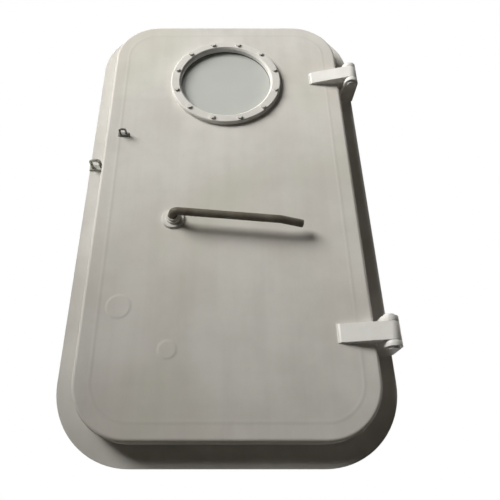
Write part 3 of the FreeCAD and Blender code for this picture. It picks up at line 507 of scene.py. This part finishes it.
# The glass is almost opaque and pale grey. Its colour is a painted reflection of bright light from
# above, in patches of slightly different tone.
glass = Finish("window_glass")
painted_reflection_patches = glass.noise(4.0, 3.0).step_between(0.3, 0.7)
glass.set(
    Base_Color=glass.blend(painted_reflection_patches, (0.585, 0.60, 0.575, 1), (0.53, 0.55, 0.53, 1)),
    Roughness=0.12 + 0.05 * painted_reflection_patches, Alpha=0.86, Coat_Weight=0.4)
dress("window_glass", glass.material, bevel=0.001)
bolt_paint = paint("bolt_paint", grey(224, 0.02), grey(206, 0.025), mottle=120.0).material
dress("window_bolts", bolt_paint, bevel=0.002, segments=4)

# --- Hinges -----------------------------------------------------------------------------
# Flame-cut steel lugs welded to the flange and forged straps welded to the leaf, both with
# a fresher coat of white. They turn on headed steel pins in bronze bushes.

hinge_paint = paint("hinge_paint", grey(231, 0.01), grey(217, 0.015),
                    roughness=0.40, mottle=18.0).material
turned = Finish("turned_steel")
ringed = turned.noise(260.0, 2.0, (1.0, 1.0, 5.0)).step_between(0.3, 0.7)
turned.set(
    Base_Color=turned.blend(ringed, (0.60, 0.60, 0.59, 1), (0.48, 0.48, 0.47, 1)),
    Metallic=1.0, Roughness=0.25 + 0.12 * ringed)
bronze = Finish("bronze")
oxide = bronze.noise(70.0, 4.0).step_between(0.35, 0.7)
bronze.set(
    Base_Color=bronze.blend(oxide, (0.55, 0.36, 0.16, 1), (0.33, 0.21, 0.10, 1)),
    Metallic=0.9, Roughness=0.32 + 0.2 * oxide)
short_of_leaf_edge, short_of_flange_edge = 0.004, 0.003
lug_gap, lug_thickness = 0.0005, 0.014
for level in ("upper", "lower"):
    dress(f"{level}_hinge_lugs", hinge_paint, bevel=0.0012)
    dress(f"{level}_hinge_strap", hinge_paint, bevel=0.0015)
    dress(f"{level}_hinge_pin", hinge_paint, bevel=0.0012)
    dress(f"{level}_hinge_bush", bronze.material)
    strap_low, strap_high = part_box(f"{level}_hinge_strap")
    free, root = strap_low[0], leaf_high[0] - short_of_leaf_edge
    foot_of_strap = [Vector((x, leaf_face, z)) for x, z in (
        (root, strap_high[2]), (free, strap_high[2]), (free, strap_low[2]), (root, strap_low[2]))]
    bead(f"{level}_strap_weld", [foot_of_strap], "leaf", hinge_paint, width=0.0045)
    lug_low, lug_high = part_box(f"{level}_hinge_lugs")
    near, seat, outer = lug_low[0], lug_high[1], flange_high[0] - short_of_flange_edge
    seams = []
    for height in (lug_high[2], lug_low[2]):
        seams.append([Vector((near, seat, height)), Vector((outer, seat, height))])
    for bottom in (strap_high[2] + lug_gap, lug_low[2]):
        seams.append([Vector((near, seat, bottom)), Vector((near, seat, bottom + lug_thickness))])
    bead(f"{level}_lug_weld", seams, "frame", hinge_paint, width=0.005)

# --- Lever and gland --------------------------------------------------------------------
# A bent round steel bar welded to the spindle by its collar. The spindle runs in bronze
# bushes through a stepped gland, and carries the drive crank and the inner lever behind.

# The lever bars, hub and crank are a dark brownish grey. This is partly their own paint and partly
# painted shade, for the bar seen from below in its own shade.
lever_paint = paint("lever_paint", grey(108, 0.12), grey(80, 0.16),
                    roughness=0.36, mottle=22.0).material
for name in ("outer_lever", "inner_lever"):
    dress(name, lever_paint, bevel=0.0015, segments=3)
for name in ("spindle_gland", "lever_collar"):
    dress(name, ring_paint, bevel=0.001)
for name in ("inner_lever_hub", "drive_crank"):
    dress(name, lever_paint, bevel=0.0008)
spindle = turns_about["lever"]
gland_foot, bar_foot = 0.0295, 0.011
bead("gland_weld", [circle_path((spindle.x, leaf_face, spindle.z), gland_foot)],
     "leaf", ring_paint, width=0.0045)
collar_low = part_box("lever_collar")[0]
bead("collar_weld", [circle_path((spindle.x, collar_low[1], spindle.z), bar_foot)],
     "lever", lever_paint, width=0.0035)
dress("lever_spindle", turned.material)
dress("spindle_bushes", bronze.material)

# --- Dogs and link bars -----------------------------------------------------------------
# Six dogs cut from plate, each with a bronze wear pad and a pin through its boss. Flat
# galvanised link bars on headed pins turn them all together.

dog_paint = paint("dog_paint", grey(188, 0.02), grey(164, 0.03),
                  roughness=0.48, mottle=20.0).material
zinc = Finish("galvanised")
spangle = zinc.add("ShaderNodeTexVoronoi", {}, {"Vector": zinc.place, "Scale": 110.0}, "Color")
flake = zinc.add("ShaderNodeSeparateColor", {}, {"Color": spangle})
zinc.set(
    Base_Color=zinc.blend(flake, (0.42, 0.43, 0.44, 1), (0.56, 0.57, 0.58, 1)),
    Metallic=0.85, Roughness=0.38 + 0.15 * flake)
for side in ("left", "right"):
    for level in ("upper", "middle", "lower"):
        dress(f"dog_{side}_{level}", dog_paint, bevel=0.0008)
        dress(f"dog_pad_{side}_{level}", bronze.material, bevel=0.0006)
    dress(f"link_bar_{side}", zinc.material, bevel=0.0006)
dress("link_cross_bar", zinc.material, bevel=0.0006)
dress("link_pins", turned.material, bevel=0.0006)
dress("dog_pivot_pins", turned.material, bevel=0.0006)

# --- Padlock staples --------------------------------------------------------------------
# Two bent-bar staples on small plates, galvanised and weathered dark, one welded to the
# leaf and one to the flange.

dark_zinc = Finish("dark_galvanised")
stain = dark_zinc.noise(140.0, 4.0).step_between(0.35, 0.7)
dark_zinc.set(
    Base_Color=dark_zinc.blend(stain, (0.20, 0.20, 0.18, 1), (0.09, 0.09, 0.08, 1)),
    Metallic=0.5, Roughness=0.42 + 0.2 * stain)
grey_zinc = Finish("weathered_galvanised")
bloom = grey_zinc.noise(120.0, 4.0).step_between(0.3, 0.7)
grey_zinc.set(
    Base_Color=grey_zinc.blend(bloom, (0.34, 0.34, 0.30, 1), (0.20, 0.20, 0.17, 1)),
    Metallic=0.4, Roughness=0.50 + 0.2 * bloom)
for body, zinc_steel in (("leaf", dark_zinc.material), ("frame", grey_zinc.material)):
    dress(f"{body}_staple", zinc_steel, bevel=0.0004)
    dress(f"{body}_staple_plate", zinc_steel, bevel=0.0004)
    low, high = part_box(f"{body}_staple_plate")
    rim = [Vector((x, high[1], z)) for x, z in (
        (low[0], low[2]), (high[0], low[2]), (high[0], high[2]),
        (low[0], high[2]), (low[0], low[2]))]
    bead(f"{body}_staple_weld", [rim], body, zinc_steel, width=0.0035)
